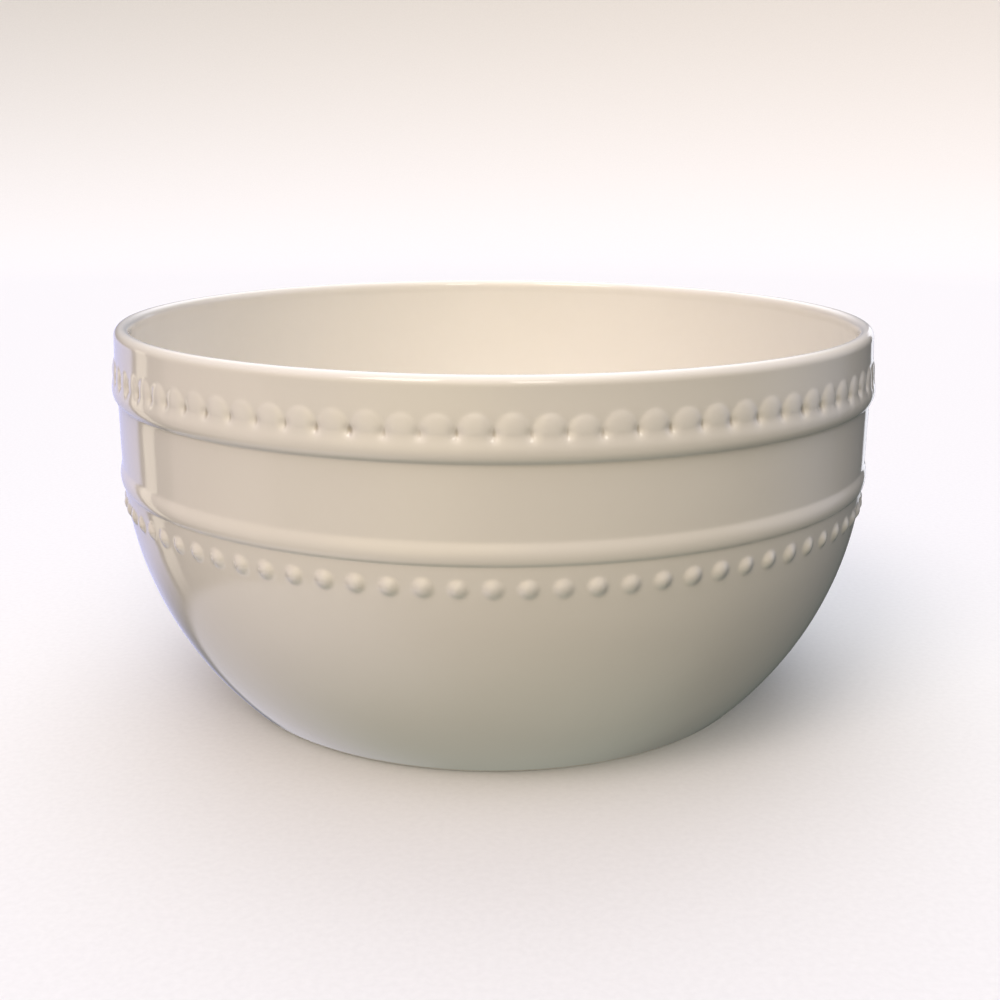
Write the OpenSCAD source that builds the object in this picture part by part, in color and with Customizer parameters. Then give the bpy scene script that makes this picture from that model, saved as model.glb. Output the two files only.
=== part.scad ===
// Deep porcelain serving bowl with two pearl rows and two rolled mouldings.
// Millimetres, +Z up. The origin is the centre of the resting face of the foot.
// The fired bowl is one piece of porcelain. The model keeps the body, the
// mouldings, the relief work and the unglazed foot as separate solids, which
// meet face to face. The body itself is parted at two level seams.

/* [Overall] */
// Overall height, resting face to lip crest
bowl_h = 130; // [126:1:140]
// Outer radius of the straight bands of the wall
band_r = 129.5; // [128:0.5:134]

/* [Wall] */
// Radius of the round belly, seen in section
belly_r = 120; // [119:0.5:122]
// Height of the centre of the belly arc
belly_z = 86; // [85:0.5:88]
// Thickness of the wall
wall_t = 4.8; // [4:0.1:5.4]
// Height where the belly ends and the moulded bands begin
belly_top_z = 78; // [77:0.1:78.2]

/* [Lip] */
// Height of the lip section
lip_h = 5; // [4.5:0.5:6]
// How much the outer face draws in towards the lip crest
lip_draw = 0.5; // [0:0.1:1]
// How much the inner face of the lip thickens inwards
lip_swell = 0.35; // [0:0.05:0.8]

/* [Upper moulding] */
// Height of the centre of the upper roll
roll_up_z = 110.1; // [107:0.1:111]
// Height of the upper roll, edge to edge
roll_up_h = 6.8; // [5:0.1:7.5]
// How far the upper roll stands out from the wall
roll_up_out = 1.4; // [0.8:0.05:2]
// How far the scallops above it stand out from the wall
scallop_out = 1.15; // [0.6:0.05:1.6]

/* [Lower moulding] */
// Height of the centre of the lower roll
roll_lo_z = 81.4; // [81.4:0.1:83]
// Height of the lower roll, edge to edge
roll_lo_h = 6.2; // [4:0.1:6.3]
// How far the lower roll stands out from the wall
roll_lo_out = 0.9; // [0.4:0.05:1.5]

/* [Pearls] */
// Number of pearls, and of scallops, round the bowl
pearl_n = 84; // [80:2:90]
// Diameter of a pearl where it meets the wall
pearl_d = 5.9; // [4:0.1:6.4]
// How far a pearl stands out from the wall
pearl_out = 1.35; // [0.8:0.05:2]
// Height of the centres of the pearls
pearl_z = 71.5; // [70:0.1:72.5]

/* [Foot and floor] */
// Outer radius of the face that the bowl rests on
foot_r = 91.4; // [90:0.2:91.8]
// Width of the face that the bowl rests on
foot_face_w = 4.6; // [4:0.1:5]
// Depth of the recess under the floor
recess_h = 4.5; // [4:0.1:5]
// Thickness of the floor
floor_t = 5.2; // [4.5:0.1:6]
// Radius of the blend from the floor into the wall
well_blend_r = 32; // [30:1:36]

/* [Hidden] */

glaze = "#efe6d6";
glaze_shade = "#e6dccb";
glaze_light = "#f5ede0";
bisque = "#d9cdb9";

// The belly arc, in section, is centred at (belly_c, belly_z)
belly_c = band_r - belly_r;
in_arc = belly_r - wall_t;
band_in = band_r - wall_t;

// Level seams between sections, from the foot up
seam_foot = recess_h;
seam_base = 30;
seam_lip = bowl_h - lip_h;

// Inner edge of the resting face, and of the foot ring where it joins the floor
face_in = foot_r - foot_face_w;
foot_in_r = face_in - 2.8;
floor_z = recess_h + floor_t;

// The well blend is a circle tangent to the floor and to the inner arc
blend_z = floor_z + well_blend_r;
blend_r = belly_c + sqrt(pow(in_arc - well_blend_r, 2) - pow(belly_z - blend_z, 2));
join_a = atan2(blend_z - belly_z, blend_r - belly_c);
join_z = belly_z + in_arc * sin(join_a);

// Radius of the outer face and of the inner face at height z
function out_r(z) = belly_c + sqrt(pow(belly_r, 2) - pow(belly_z - z, 2));
function in_r(z) = z >= belly_z ? band_in
                 : belly_c + sqrt(pow(in_arc, 2) - pow(belly_z - z, 2));

// Values from a to b in n even steps
function steps(a, b, n) = [for (i = [0:n]) a + (b - a) * i / n];
function outer(a, b, n) = [for (z = steps(a, b, n)) [out_r(z), z]];
function inner(a, b, n) = [for (z = steps(a, b, n)) [in_r(z), z]];
// Point of the well blend at angle a
function blend(a) = [blend_r + well_blend_r * cos(a), blend_z + well_blend_r * sin(a)];

// Half of an oval moulding in section: flat on radius r, tall h, proud out
function oval(r, z, h, out, n = 20) =
  [for (i = [0:n]) let (a = -90 + 180 * i / n) [r + out * cos(a), z + h / 2 * sin(a)]];

// Edge of a spherical cap, from its rim at radius w in to its crown
function cap_edge(w, out, n = 5) =
  let (ball = (w * w + out * out) / (2 * out))
  [for (x = steps(w, 0, n)) [x, sqrt(ball * ball - x * x) - (ball - out)]];

// The pearls sit on one straight facet of the belly
facet_lo = pearl_z - 4.4;
facet_hi = pearl_z + 4.4;
facet_mid_r = (out_r(facet_lo) + out_r(facet_hi)) / 2;
facet_tilt = atan2(out_r(facet_hi) - out_r(facet_lo), facet_hi - facet_lo);

// The scallops spring from the upper edge of the upper roll
roll_top = roll_up_z + roll_up_h / 2;
scallop_w = 0.485 * 2 * PI * band_r / pearl_n;

module turned(points) rotate_extrude($fn = 180) polygon(points);

// Straight upper wall, with the rounded lip on top and the belly's turn below
module rim_wall() color(glaze) {
  top_out = band_r - lip_draw;
  top_in = band_in - lip_swell;
  half = (top_out - top_in) / 2;
  mid = (top_out + top_in) / 2;
  turned(concat(
    [[in_r(belly_top_z), belly_top_z], [band_r, belly_top_z], [band_r, seam_lip]],
    [for (a = steps(0, 180, 24)) [mid + half * cos(a), bowl_h - half * 1.1 * (1 - sin(a))]],
    [[band_in, seam_lip]],
    inner(belly_z, belly_top_z + 1.5, 4)));
}

// Touching scallops: half domes that stand on the upper edge of the roll
module upper_scallops() color(glaze_light)
  for (i = [0:pearl_n - 1]) rotate([0, 0, (i + 0.5) * 360 / pearl_n])
    translate([band_r, 0, roll_top]) rotate([0, 90, 0]) rotate([0, 0, 90])
      rotate_extrude(angle = 180, $fn = 48)
        polygon(concat([[0, 0]], cap_edge(scallop_w, scallop_out)));

module upper_roll() color(glaze_light)
  turned(oval(band_r, roll_up_z, roll_up_h, roll_up_out));

module lower_roll() color(glaze_light)
  turned(oval(band_r, roll_lo_z, roll_lo_h, roll_lo_out));

// Separate round pearls
module lower_pearls() color(glaze_light)
  for (i = [0:pearl_n - 1]) rotate([0, 0, i * 360 / pearl_n])
    translate([facet_mid_r, 0, pearl_z]) rotate([0, 90 + facet_tilt, 0])
      rotate_extrude($fn = 48) polygon(concat([[0, 0]], cap_edge(pearl_d / 2, pearl_out)));

// Round belly below the mouldings
module belly_wall() color(glaze)
  turned(concat(
    outer(seam_base, facet_lo, 12),
    outer(facet_hi, belly_top_z, 1),
    inner(belly_top_z, seam_base, 16)));

// Floor, with the blend up into the wall and a slightly domed underside
module bowl_base() color(glaze_shade)
  turned(concat(
    [[0, recess_h + 0.6], [40, recess_h + 0.4], [foot_in_r, seam_foot]],
    outer(seam_foot, seam_base, 9),
    inner(seam_base, join_z + 0.5, 2),
    [for (a = steps(join_a, -90, 11)) blend(a)],
    [[0, floor_z]]));

// Unglazed ring the bowl stands on, flush with the belly outside
module foot_ring() color(bisque)
  turned(concat(
    [[foot_in_r, seam_foot], [foot_in_r + 0.5, 2.2], [face_in - 1.2, 0.6],
     [face_in, 0], [foot_r, 0], [foot_r + 1.2, 0.3]],
    outer(1, seam_foot, 3)));

rim_wall();
upper_scallops();
upper_roll();
lower_roll();
lower_pearls();
belly_wall();
bowl_base();
foot_ring();
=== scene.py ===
import math

import bmesh
import bpy
import numpy as np
from mathutils import Matrix, Vector


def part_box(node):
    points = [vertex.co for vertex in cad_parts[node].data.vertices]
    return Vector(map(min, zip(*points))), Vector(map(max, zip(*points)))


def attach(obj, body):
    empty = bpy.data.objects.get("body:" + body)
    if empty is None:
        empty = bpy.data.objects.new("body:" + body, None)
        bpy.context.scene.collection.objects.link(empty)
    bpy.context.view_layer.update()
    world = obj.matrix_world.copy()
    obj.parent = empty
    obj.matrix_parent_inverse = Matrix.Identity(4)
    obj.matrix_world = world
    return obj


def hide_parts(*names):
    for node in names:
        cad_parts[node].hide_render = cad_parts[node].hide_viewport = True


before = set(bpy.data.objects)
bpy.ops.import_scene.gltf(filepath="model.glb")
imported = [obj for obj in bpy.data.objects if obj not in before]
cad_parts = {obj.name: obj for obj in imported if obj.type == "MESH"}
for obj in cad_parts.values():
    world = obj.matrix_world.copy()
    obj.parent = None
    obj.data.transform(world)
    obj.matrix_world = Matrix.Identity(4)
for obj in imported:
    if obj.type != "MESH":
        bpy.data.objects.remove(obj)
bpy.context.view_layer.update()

MM = 0.001
PEARLS = 84
PITCH = 2 * math.pi / PEARLS
COARSE = 3 * PEARLS  # columns on the plain turned surfaces
SPLIT = 5  # fine columns to a coarse one, where pearls and scallops stand
FINE = COARSE * SPLIT

lip_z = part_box("rim_wall")[1][2] / MM  # 130
foot_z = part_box("foot_ring")[0][2] / MM  # 0
BAND_R = 129.5

# ---------------------------------------------------------------- profile

BELLY_R, BELLY_Z = 120.0, 86.0
BELLY_C = BAND_R - BELLY_R
WALL = 4.8
IN_ARC = BELLY_R - WALL
FLOOR_Z = 9.7
WELL_R = 32.0
WELL_Z = FLOOR_Z + WELL_R
WELL_C = BELLY_C + math.sqrt((IN_ARC - WELL_R) ** 2 - (BELLY_Z - WELL_Z) ** 2)
JOIN_A = math.atan2(WELL_Z - BELLY_Z, WELL_C - BELLY_C)
JOIN_Z = BELLY_Z + IN_ARC * math.sin(JOIN_A)


def smooth_curve(z, v, sigma):
    """v over the even grid z, blurred by a bell sigma wide."""
    step = z[1] - z[0]
    k = np.arange(-int(4 * sigma / step), int(4 * sigma / step) + 1) * step
    w = np.exp(-0.5 * (k / sigma) ** 2)
    w /= w.sum()
    pad = len(k) // 2
    return np.convolve(np.pad(v, pad, mode="edge"), w, mode="valid")


def hump(z, pit_shade, crest, high, out, p_low, p_high):
    """A rolled moulding in section: out proud at crest, down to nothing at low and high."""
    a = np.clip((crest - z) / (crest - pit_shade), 0, 1)
    b = np.clip((z - crest) / (high - crest), 0, 1)
    return np.where(z < crest, out * (1 - a ** p_low) ** (1 / p_low), out * (1 - b * b) ** p_high)


grid = np.arange(0, 128, 0.02)
belly = BELLY_C + np.sqrt(BELLY_R ** 2 - (BELLY_Z - np.minimum(grid, BELLY_Z)) ** 2)
upper = np.interp(grid, [104, 107, 114, 119, 126, 128], [0, 0.15, 0.35, 0.35, 0.0, -0.05])
upper_roll = smooth_curve(grid, hump(grid, 106.7, 109.6, 114.6, 1.42, 2.0, 1.15), 0.2)
lower_roll = smooth_curve(grid, hump(grid, 78.3, 80.9, 85.0, 0.85, 2.2, 1.3), 0.2)
wall_grid = smooth_curve(grid, belly + upper, 0.6)
outer_grid = wall_grid + upper_roll + lower_roll


def outer_r(z):
    return np.interp(z, grid, outer_grid)


def inner_r(z):
    z = np.asarray(z, float)
    arc = BELLY_C + np.sqrt(IN_ARC ** 2 - (BELLY_Z - np.minimum(z, BELLY_Z)) ** 2)
    return np.where(z >= BELLY_Z, BAND_R - WALL, arc)


def line(a, b, n, end=True):
    """n steps from point a to point b, as (r, z) rows."""
    t = np.linspace(0, 1, n + 1)[: None if end else -1]
    return [(a[0] + (b[0] - a[0]) * u, a[1] + (b[1] - a[1]) * u) for u in t]


def arc(c, rx, rz, a0, a1, n, end=True):
    t = np.radians(np.linspace(a0, a1, n + 1)[: None if end else -1])
    return [(c[0] + rx * math.cos(u), c[1] + rz * math.sin(u)) for u in t]


# Each row is (r, z, kind): C for a plain turned row, F for one with relief on it.
rows = []


def add(points, kind="C"):
    rows.extend((r, z, kind) for r, z in points)


# Inside: floor, blend, wall
add(line((3.0, FLOOR_Z), (WELL_C - 4, FLOOR_Z), 9))
add([(WELL_C + WELL_R * math.cos(a), WELL_Z + WELL_R * math.sin(a))
     for a in np.linspace(-math.pi / 2, JOIN_A, 12)])
add([(float(inner_r(z)), z) for z in np.linspace(JOIN_Z, 86, 16)[1:]])
add([(float(inner_r(z)), z) for z in np.linspace(86, 124.6, 7)[1:]])
# Lip: a soft inner swell, a rounded crest, and down the outer face
crest = (126.85, 127.05)
add([(124.66, 125.6), (124.5, 126.3)])
add(arc((crest[0], 127.3), crest[0] - 124.42, lip_z - 127.3, 180, 90, 9, end=False))
add(arc(crest, outer_r(127.05) - crest[0], lip_z - crest[1], 90, 0, 11))
# Outside, from the lip down
add([(float(outer_r(z)), z) for z in np.linspace(126.2, 121.9, 4)])
FINE_ZONES = ((121.4, 110.0), (76.0, 67.2))


def fine(z0, z1, n):
    add([(float(outer_r(z)), z) for z in np.linspace(z0, z1, n)], "F")


fine(*FINE_ZONES[0], 24)
add([(float(outer_r(z)), z) for z in np.linspace(109.6, 106.2, 13)])
add([(float(outer_r(z)), z) for z in (105.7, 105, 103, 99, 95, 91, 88.5, 86.5)])
add([(float(outer_r(z)), z) for z in np.linspace(85.7, 80.9, 9)])
add([(float(outer_r(z)), z) for z in np.linspace(80.6, 77.8, 11)])
add([(float(outer_r(z)), z) for z in (77.2, 76.6)])
fine(*FINE_ZONES[1], 19)
add([(float(outer_r(z)), z) for z in np.linspace(66.6, 4, 22)])
add([(float(outer_r(z)), z) for z in (3.0, 2.2, 1.75)])
# The glaze ends in a small rounded edge just above the unglazed face
edge_r = float(outer_r(1.45))
add([(edge_r, 1.45), (edge_r - 0.18, 1.2), (edge_r - 0.5, 1.08), (edge_r - 0.95, 1.1)])
add(line((edge_r - 1.6, 1.5), (86.6, 1.5), 3))
add([(85.95, 1.1), (85.5, 1.05), (85.18, 1.2), (85.0, 1.5)])
add([(84.75, 2.3), (84.5, 3.1), (84.1, 3.8), (83.4, 4.25), (82.2, 4.5), (80.0, 4.6)])
add(line((74, 4.68), (3.0, 5.1), 8))

profile = np.array([(r, z) for r, z, _ in rows])
kinds = [k for _, _, k in rows]

# ----------------------------------------------------------------- relief

rng = np.random.default_rng(84)


def per_pearl(spread):
    return rng.normal(0, spread, PEARLS)


pearl = {"out": 1 + per_pearl(0.05), "size": 1 + per_pearl(0.025), "t": per_pearl(0.1), "z": per_pearl(0.09)}
scallop = {"out": 1 + per_pearl(0.06), "size": 1 + per_pearl(0.02), "t": per_pearl(0.12), "z": per_pearl(0.14)}


pit = {"out": 1 + per_pearl(0.15), "t": per_pearl(0.15), "z": per_pearl(0.12)}


def soft_floor(h, k):
    """h where it is above nothing, easing to 0 over about k."""
    return k * np.logaddexp(0, h / k)


def pearl_height(theta, z):
    """Height of the lower pearls above the wall, in mm."""
    i = np.round(theta / PITCH).astype(int)
    j = i % PEARLS
    t = (theta - i * PITCH) * 128.7 - pearl["t"][j]
    y = (z - 71.5) * 1.012 - pearl["z"][j]
    rho = (t * t + y * y) / (2.8 * pearl["size"][j]) ** 2
    return soft_floor(1.05 * pearl["out"][j] * (1 - rho), 0.18) * np.exp(-np.maximum(rho - 1.5, 0) * 3)


def soft_max(a, b, k):
    return k * np.logaddexp(a / k, b / k)


def scallop_height(theta, z):
    """What the scallops add to the upper band and the roll under them, in mm."""
    i = np.floor(theta / PITCH).astype(int)
    roll = np.interp(z, grid, upper_roll)
    best = np.zeros_like(theta)
    for d in (-1, 0, 1):
        j = (i + d) % PEARLS
        t = (theta - (i + d + 0.5) * PITCH) * 130.0 - scallop["t"][j]
        top = 120.1 + scallop["z"][j]
        y = np.clip((z - 113.2) / (top - 113.2), 0, None)
        rho = np.abs(t / (5.05 * scallop["size"][j])) ** 2.2 + y ** 1.9
        h = 0.78 * scallop["out"][j] * (1 - np.clip(rho, 0, 1.3) ** 1.5)
        best = np.maximum(best, soft_floor(h, 0.07))
    i = np.round(theta / PITCH)
    j = i.astype(int) % PEARLS
    t = (theta - i * PITCH) * 130.0 - pit["t"][j]
    hollow = 0.46 * pit["out"][j] * np.exp(-((t / 1.75) ** 2) - ((z - 114.7 - pit["z"][j]) / 1.4) ** 2)
    k = 0.3
    full = soft_max(roll, best, k) - k * math.log(2) * np.exp(-np.maximum(roll, best) * 6)
    fade = np.clip((z - 109.4) / 1.6, 0, 1)
    return (full - roll) * fade - hollow


def warp(theta, z):
    """Slight unevenness of a fired wall, in mm."""
    return (0.10 * np.cos(2 * theta - 0.7) + 0.05 * np.cos(3 * theta + 1.9)
            + 0.035 * np.sin(5 * theta + z * 0.05) + 0.02 * np.sin(11 * theta - z * 0.11)
            + 0.012 * np.sin(z * 0.33 + 2 * np.sin(theta * 4)))


# Normals of the profile, pointing out of the porcelain
tang = np.gradient(profile, axis=0)
tang /= np.linalg.norm(tang, axis=1)[:, None]
norm = np.stack([-tang[:, 1], tang[:, 0]], axis=1)


def make_turned(name, profile, kinds, norm, first_fan=True, last_fan=True):
    """A closed surface from a section turned about Z: coarse and fine rows, joined by fans."""
    verts, starts, counts, relief = [], [], [], []
    n = 0
    for (r, z), kind, (nr, nz) in zip(profile, kinds, norm):
        cols = FINE if kind == "F" else COARSE
        theta = np.arange(cols) * (2 * math.pi / cols)
        h = np.zeros(cols)
        if kind == "F":
            h = scallop_height(theta, np.full(cols, z)) if z > 100 else pearl_height(theta, np.full(cols, z))
            h = h * min(1.0, max(0.0, (z - 66.9) / 0.8)) if z < 90 else h
        w = warp(theta, np.full(cols, z)) * min(1, r / 60) * (0.35 if z < 6 else 1)
        w = w * min(1.0, max(0.0, (z - 0.9) / 3.0))
        rr = r + h * abs(nr) + w
        zz = z + h * nz * (1 if nr > 0 else -1)
        verts.append(np.stack([rr * np.sin(theta), -rr * np.cos(theta), zz], axis=1))
        relief.append(h)
        starts.append(n)
        counts.append(cols)
        n += cols
    faces = []
    for k in range(len(starts) - 1):
        a, b, na, nb = starts[k], starts[k + 1], counts[k], counts[k + 1]
        if na == nb:
            i = np.arange(na)
            j = (i + 1) % na
            faces.extend(np.stack([a + i, a + j, b + j, b + i], axis=1).tolist())
        elif na < nb:
            for i in range(na):
                j = (i + 1) % na
                pit_shade = [b + (i * SPLIT + s) % nb for s in range(SPLIT, -1, -1)]
                half = SPLIT // 2
                faces.append([a + i, a + j, *pit_shade[: half + 1]])
                faces.append([a + i, *pit_shade[half:]])
        else:
            for i in range(nb):
                j = (i + 1) % nb
                top = [a + (i * SPLIT + s) % na for s in range(SPLIT + 1)]
                half = SPLIT // 2
                faces.append([*top[: half + 1], b + i])
                faces.append([*top[half:], b + j, b + i])
    for at, fan, turn in ((0, first_fan, 1), (len(starts) - 1, last_fan, -1)):
        if not fan:
            continue
        s, c = starts[at], counts[at]
        verts.append(np.array([[0.0, 0.0, profile[at][1]]]))
        relief.append(np.zeros(1))
        for i in range(c):
            j = (i + 1) % c
            faces.append([s + j, s + i, n] if turn > 0 else [s + i, s + j, n])
        n += 1
    mesh = bpy.data.meshes.new(name)
    mesh.from_pydata((np.concatenate(verts) * MM).tolist(), [], faces)
    mesh.validate()
    mesh.update()
    mesh.shade_smooth()
    attr = mesh.attributes.new("relief", "FLOAT", "POINT")
    attr.data.foreach_set("value", np.concatenate(relief).astype(np.float32))
    piece = bpy.data.objects.new(name, mesh)
    bpy.context.scene.collection.objects.link(piece)
    return piece


body = make_turned("glazed_body", profile, kinds, norm)


def make_ring(name, section, cols):
    """A closed ring from a closed section of (r, z) points in mm."""
    m = len(section)
    theta = np.arange(cols) * (2 * math.pi / cols)
    verts, faces = [], []
    for r, z in section:
        verts.append(np.stack([r * np.sin(theta), -r * np.cos(theta), np.full(cols, z)], axis=1))
    i = np.arange(cols)
    j = (i + 1) % cols
    for k in range(m):
        a, b = k * cols, ((k + 1) % m) * cols
        faces.extend(np.stack([a + i, a + j, b + j, b + i], axis=1).tolist())
    mesh = bpy.data.meshes.new(name)
    mesh.from_pydata((np.concatenate(verts) * MM).tolist(), [], faces)
    mesh.update()
    mesh.shade_smooth()
    piece = bpy.data.objects.new(name, mesh)
    bpy.context.scene.collection.objects.link(piece)
    return piece


er = edge_r - 0.28
foot = make_ring("foot_ring_bisque", [
    (er - 0.3, 1.9), (er, 1.5), (er - 0.05, 1.1), (er - 0.35, 0.72), (er - 0.95, 0.38), (er - 1.7, 0.16),
    (91.9, 0.05), (91.3, 0.0), (90.0, 0.0), (88.4, 0.0), (87.0, 0.0), (86.5, 0.06), (86.0, 0.25),
    (85.6, 0.6), (85.35, 1.0), (85.3, 1.5), (85.6, 1.9), (88.5, 2.0)], 672)

for piece in (body, foot):
    # outward faces, whichever way the section ran
    mesh = piece.data
    bpy.context.view_layer.objects.active = piece
    piece.select_set(True)
    bm = bmesh.new()
    bm.from_mesh(mesh)
    bmesh.ops.recalc_face_normals(bm, faces=bm.faces)
    bm.to_mesh(mesh)
    bm.free()
    mesh.shade_smooth()
    piece.select_set(False)

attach(body, "root")
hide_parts("rim_wall", "upper_scallops", "upper_roll", "lower_roll", "lower_pearls",
            "belly_wall", "bowl_base")
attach(foot, "root")
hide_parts("foot_ring")

# -------------------------------------------------------------- materials


def nodes_of(name):
    m = bpy.data.materials.new(name)
    m.use_nodes = True
    t = m.node_tree
    t.nodes.clear()
    out = t.nodes.new("ShaderNodeOutputMaterial")
    bsdf = t.nodes.new("ShaderNodeBsdfPrincipled")
    t.links.new(bsdf.outputs[0], out.inputs["Surface"])
    return m, t, bsdf


def noise(t, coords, scale, detail=3.0, rough=0.5):
    n = t.nodes.new("ShaderNodeTexNoise")
    n.inputs["Scale"].default_value = scale
    n.inputs["Detail"].default_value = detail
    n.inputs["Roughness"].default_value = rough
    t.links.new(coords, n.inputs["Vector"])
    return n.outputs["Fac"]


def ramp(t, fac, stops):
    n = t.nodes.new("ShaderNodeValToRGB")
    e = n.color_ramp.elements
    while len(e) < len(stops):
        e.new(0.5)
    for el, (p, c) in zip(e, stops):
        el.position = p
        el.color = (*c, 1) if len(c) == 3 else c
    t.links.new(fac, n.inputs[0])
    return n.outputs[0]


def mix(t, fac, a, b, how="MIX"):
    n = t.nodes.new("ShaderNodeMix")
    n.data_type = "RGBA"
    n.blend_type = how
    for sock, v in ((n.inputs[0], fac), (n.inputs[6], a), (n.inputs[7], b)):
        if isinstance(v, (int, float)):
            sock.default_value = v
        elif isinstance(v, tuple):
            sock.default_value = (*v, 1)
        else:
            t.links.new(v, sock)
    return n.outputs[2]


def math_node(t, op, a, b=0.0, c=None):
    n = t.nodes.new("ShaderNodeMath")
    n.operation = op
    for k, v in enumerate((a, b) if c is None else (a, b, c)):
        if isinstance(v, (int, float)):
            n.inputs[k].default_value = v
        else:
            t.links.new(v, n.inputs[k])
    return n.outputs[0]


def remap(t, v, lo, hi, a, b):
    n = t.nodes.new("ShaderNodeMapRange")
    n.inputs["From Min"].default_value = lo
    n.inputs["From Max"].default_value = hi
    n.inputs["To Min"].default_value = a
    n.inputs["To Max"].default_value = b
    t.links.new(v, n.inputs["Value"])
    return n.outputs[0]


# Glaze: ivory over white clay, thinner and whiter where it runs off the relief, with painted shade darkening the
# pits
glaze, t, bsdf = nodes_of("ivory_glaze")
coords = t.nodes.new("ShaderNodeTexCoord").outputs["Object"]
cloud = noise(t, coords, 9, 3)
col = ramp(t, cloud, [(0.3, (0.835, 0.795, 0.715)), (0.7, (0.865, 0.825, 0.75))])
mottle = noise(t, coords, 260, 4, 0.6)
col = mix(t, math_node(t, "MULTIPLY", remap(t, mottle, 0.35, 0.75, 0, 1), 0.12), col, (0.90, 0.87, 0.80))
raised = t.nodes.new("ShaderNodeAttribute")
raised.attribute_name = "relief"
high = remap(t, raised.outputs["Fac"], 0.35, 1.3, 0, 0.45)
# Painted shade: where the relief dips into the pits between the scallops, the colour darkens toward brown-grey.
# This stands in for the shade in the pits and partly for glaze pooling there.
pit_shade = remap(t, raised.outputs["Fac"], -0.03, -0.38, 0, 0.85)
col = mix(t, high, col, (0.90, 0.87, 0.81))
col = mix(t, pit_shade, col, (0.47, 0.42, 0.34))
# A few iron specks and pinholes
vor = t.nodes.new("ShaderNodeTexVoronoi")
vor.inputs["Scale"].default_value = 95
t.links.new(coords, vor.inputs["Vector"])
chosen = math_node(t, "GREATER_THAN", vor.outputs["Color"], 0.955)
size = math_node(t, "LESS_THAN", vor.outputs["Distance"], 0.032)
speck = math_node(t, "MULTIPLY", chosen, size)
col = mix(t, math_node(t, "MULTIPLY", speck, 0.55), col, (0.30, 0.24, 0.17))
t.links.new(col, bsdf.inputs["Base Color"])
wave = noise(t, coords, 38, 2)
t.links.new(remap(t, mottle, 0.3, 0.8, 0.05, 0.1), bsdf.inputs["Roughness"])
bump1 = t.nodes.new("ShaderNodeBump")
bump1.inputs["Strength"].default_value = 0.5
bump1.inputs["Distance"].default_value = 0.00022
t.links.new(wave, bump1.inputs["Height"])
bump2 = t.nodes.new("ShaderNodeBump")
bump2.inputs["Strength"].default_value = 0.25
bump2.inputs["Distance"].default_value = 0.00003
t.links.new(mottle, bump2.inputs["Height"])
t.links.new(bump1.outputs[0], bump2.inputs["Normal"])
t.links.new(bump2.outputs[0], bsdf.inputs["Normal"])
bsdf.inputs["IOR"].default_value = 1.58
bsdf.inputs["Subsurface Weight"].default_value = 0.0
body.data.materials.append(glaze)

# Unglazed clay: matt, fine grained, scuffed grey where it has stood
clay, t, bsdf = nodes_of("unglazed_foot")
coords = t.nodes.new("ShaderNodeTexCoord").outputs["Object"]
grain = noise(t, coords, 1400, 4, 0.7)
blot = noise(t, coords, 60, 4, 0.6)
col = ramp(t, blot, [(0.3, (0.66, 0.60, 0.51)), (0.7, (0.78, 0.73, 0.64))])
col = mix(t, math_node(t, "MULTIPLY", remap(t, grain, 0.45, 0.8, 0, 1), 0.4), col, (0.50, 0.45, 0.38))
t.links.new(col, bsdf.inputs["Base Color"])
t.links.new(remap(t, grain, 0.3, 0.7, 0.6, 0.85), bsdf.inputs["Roughness"])
bump = t.nodes.new("ShaderNodeBump")
bump.inputs["Strength"].default_value = 0.6
bump.inputs["Distance"].default_value = 0.00005
t.links.new(grain, bump.inputs["Height"])
t.links.new(bump.outputs[0], bsdf.inputs["Normal"])
foot.data.materials.append(clay)

# ------------------------------------------------------------------ stage

# A round floor that curves up into a wall all the way round
turns, flat, rise = 96, 1.6, 0.9
prof = [(0.4, 0.0), (flat, 0.0)]
prof += [(flat + rise * math.sin(a), rise - rise * math.cos(a)) for a in np.linspace(0, math.pi / 2, 24)[1:]]
prof += [(flat + rise, 3.5)]
v, f = [(0.0, 0.0, foot_z * MM)], []
for r, z in prof:
    v += [(r * math.sin(a), -r * math.cos(a), z + foot_z * MM)
          for a in np.linspace(0, 2 * math.pi, turns, endpoint=False)]
for i in range(turns):
    j = (i + 1) % turns
    f.append((0, 1 + i, 1 + j))
    for k in range(len(prof) - 1):
        a, b = 1 + k * turns, 1 + (k + 1) * turns
        f.append((a + i, b + i, b + j, a + j))
mesh = bpy.data.meshes.new("floor")
mesh.from_pydata(v, [], f)
mesh.shade_smooth()
floor = bpy.data.objects.new("floor", mesh)
bpy.context.scene.collection.objects.link(floor)
paper, t, bsdf = nodes_of("pale_paper")
coords = t.nodes.new("ShaderNodeTexCoord").outputs["Object"]
fibre = noise(t, coords, 500, 3)
t.links.new(ramp(t, fibre, [(0.3, (0.78, 0.775, 0.765)), (0.7, (0.81, 0.805, 0.795))]), bsdf.inputs["Base Color"])
bsdf.inputs["Roughness"].default_value = 0.8
bsdf.inputs["Specular IOR Level"].default_value = 0.2
floor.data.materials.append(paper)

# ------------------------------------------------------------------ light

# The floor is for the eye: the bowl is lit by the soft room round it, not by bounce
floor.visible_diffuse = False
floor.visible_glossy = False
floor.visible_shadow = False


def towards(azimuth, elevation):
    """Azimuth 0 is the camera's side, 90 its right."""
    a, e = math.radians(azimuth), math.radians(elevation)
    return Vector((math.sin(a) * math.cos(e), -math.cos(a) * math.cos(e), math.sin(e)))


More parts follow.
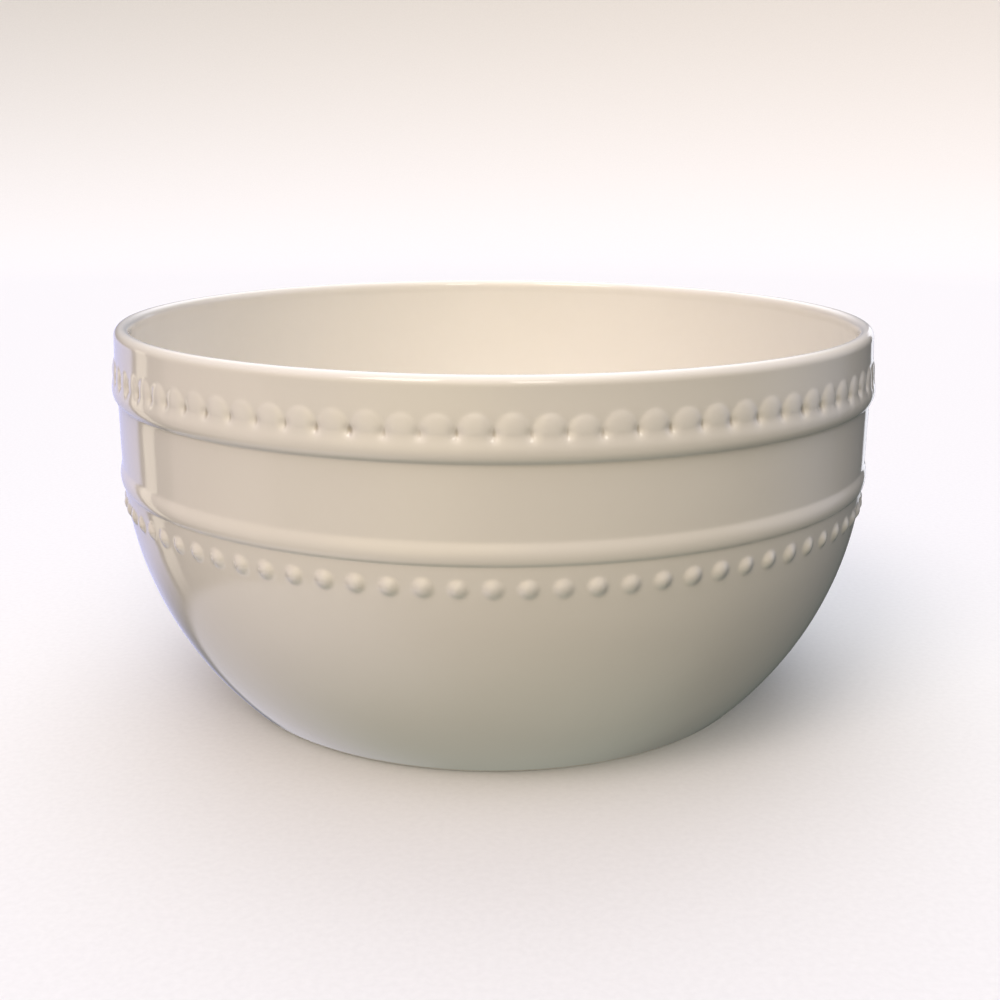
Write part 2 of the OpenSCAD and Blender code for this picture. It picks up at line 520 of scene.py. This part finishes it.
# Soft lights far off: azimuth, elevation, full within, nothing beyond, colour
SOFT = (
    (-45, 50, 10, 40, (0.75, 0.62, 0.60)),
    (0, 50, 10, 40, (1.28, 1.14, 0.95)),
    (45, 50, 10, 40, (0.12, 0.13, 0.10)),
    (90, 50, 10, 40, (0.17, 0.20, 0.36)),
    (-90, 50, 10, 40, (0.08, 0.12, 0.38)),
    (180, 50, 10, 40, (1.60, 1.68, 1.90)),
    (0, 90, 10, 40, (1.25, 1.26, 1.28)),
    (-20, 12, 8, 36, (0.66, 0.56, 0.26)),
    (100, 12, 8, 36, (0.33, 0.36, 0.50)),
    (180, 12, 8, 36, (0.14, 0.15, 0.20)),
    (-45, -35, 15, 50, (0.30, 0.28, 0.30)),
    (135, -35, 15, 50, (0.04, 0.04, 0.04)),
    (180, -35, 15, 50, (0.05, 0.06, 0.05)),
    (0, -90, 10, 45, (0.33, 0.40, 0.34)),
    (50, -55, 8, 36, (0.20, 0.20, 0.17)),
)
# Softboxes and pale walls, for the glaze to mirror: azimuths, elevations, the four edges, colour
BOXES = (
    (-50, -20, 38, 60, (1.5, 1.5, 1.5, 1.5), (5.2, 4.5, 4.2)),
    (6, 20, 30, 48, (1.5, 1.5, 1.5, 1.5), (4.2, 3.9, 3.7)),
    (-175, -131, -26, -2, (3, 2, 6, 3), (0.66, 0.66, 1.02)),
    (-127, -119, -27, 6, (1, 1, 6, 3), (1.10, 0.98, 0.80)),
    (-108, -66, -20, 2, (2, 5, 3, 3), (0.34, 0.27, 0.26)),
    (-165, -30, -58, -31, (6, 26, 16, 1.6), (0.72, 0.68, 0.78)),
    (151, 160, -15, 8, (1, 1, 2, 2), (1.10, 1.10, 1.20)),
)
world = bpy.data.worlds.new("studio")
bpy.context.scene.world = world
world.use_nodes = True
wt = world.node_tree
wt.nodes.clear()
w_out = wt.nodes.new("ShaderNodeOutputWorld")
w_bg = wt.nodes.new("ShaderNodeBackground")
w_way = wt.nodes.new("ShaderNodeTexCoord").outputs["Generated"]
wt.links.new(w_bg.outputs[0], w_out.inputs[0])


def w_node(kind, *links, **settings):
    n = wt.nodes.new(kind)
    for k, v in settings.items():
        setattr(n, k, v)
    for sock, v in links:
        if hasattr(v, "is_output"):
            wt.links.new(v, n.inputs[sock])
        else:
            n.inputs[sock].default_value = v
    return n.outputs


def step(v, a, b):
    """0 at a, 1 at b, eased."""
    lo, hi, first, last = (a, b, 0.0, 1.0) if a < b else (b, a, 1.0, 0.0)
    return w_node("ShaderNodeMapRange", ("Value", v), ("From Min", lo), ("From Max", hi),
                  ("To Min", first), ("To Max", last), interpolation_type="SMOOTHSTEP")[0]


lit = []
for az, el, inner, beyond, colour in SOFT:
    dot = w_node("ShaderNodeVectorMath", (0, w_way), (1, towards(az, el)), operation="DOT_PRODUCT")["Value"]
    lit.append((step(dot, math.cos(math.radians(beyond)), math.cos(math.radians(inner))), colour))
xyz = w_node("ShaderNodeSeparateXYZ", (0, w_way))
back = w_node("ShaderNodeMath", (0, xyz[1]), (1, -1.0), operation="MULTIPLY")[0]
w_az = w_node("ShaderNodeMath", (0, xyz[0]), (1, back), operation="ARCTAN2")[0]
w_el = w_node("ShaderNodeMath", (0, xyz[2]), operation="ARCSINE")[0]
for *sides, soft, colour in BOXES:
    a0, a1, e0, e1, *soft = (math.radians(v) for v in (*sides, *soft))
    inside = None
    for v in (step(w_az, a0 - soft[0], a0 + soft[0]), step(w_az, a1 + soft[1], a1 - soft[1]),
              step(w_el, e0 - soft[2], e0 + soft[2]), step(w_el, e1 + soft[3], e1 - soft[3])):
        inside = v if inside is None else w_node("ShaderNodeMath", (0, inside), (1, v), operation="MULTIPLY")[0]
    lit.append((inside, colour))
total = None
for amount, colour in lit:
    part = w_node("ShaderNodeVectorMath", (0, colour), ("Scale", amount), operation="SCALE")[0]
    total = part if total is None else w_node("ShaderNodeVectorMath", (0, total), (1, part), operation="ADD")[0]
wt.links.new(total, w_bg.inputs["Color"])

# ----------------------------------------------------------------- camera

cam_data = bpy.data.cameras.new("camera")
cam_data.lens = 47.72
cam_data.sensor_width = 36
cam_data.clip_start = 0.01
cam_data.clip_end = 50
cam = bpy.data.objects.new("camera", cam_data)
bpy.context.scene.collection.objects.link(cam)
yaw, pitch, roll = math.radians(0.28), math.radians(14.91), math.radians(0.17)
fwd = Vector((math.sin(yaw) * math.cos(pitch), math.cos(yaw) * math.cos(pitch), -math.sin(pitch)))
right = Vector((math.cos(yaw), -math.sin(yaw), 0))
up = right.cross(fwd)
r2 = math.cos(roll) * right + math.sin(roll) * up
u2 = -math.sin(roll) * right + math.cos(roll) * up
m = Matrix((r2, u2, -fwd)).transposed().to_4x4()
m.translation = Vector((0, -0.4684, 0.1872))
cam.matrix_world = m
bpy.context.scene.camera = cam

scene = bpy.context.scene
scene.view_settings.view_transform = "Standard"
scene.view_settings.look = "None"
scene.view_settings.exposure = 0.0
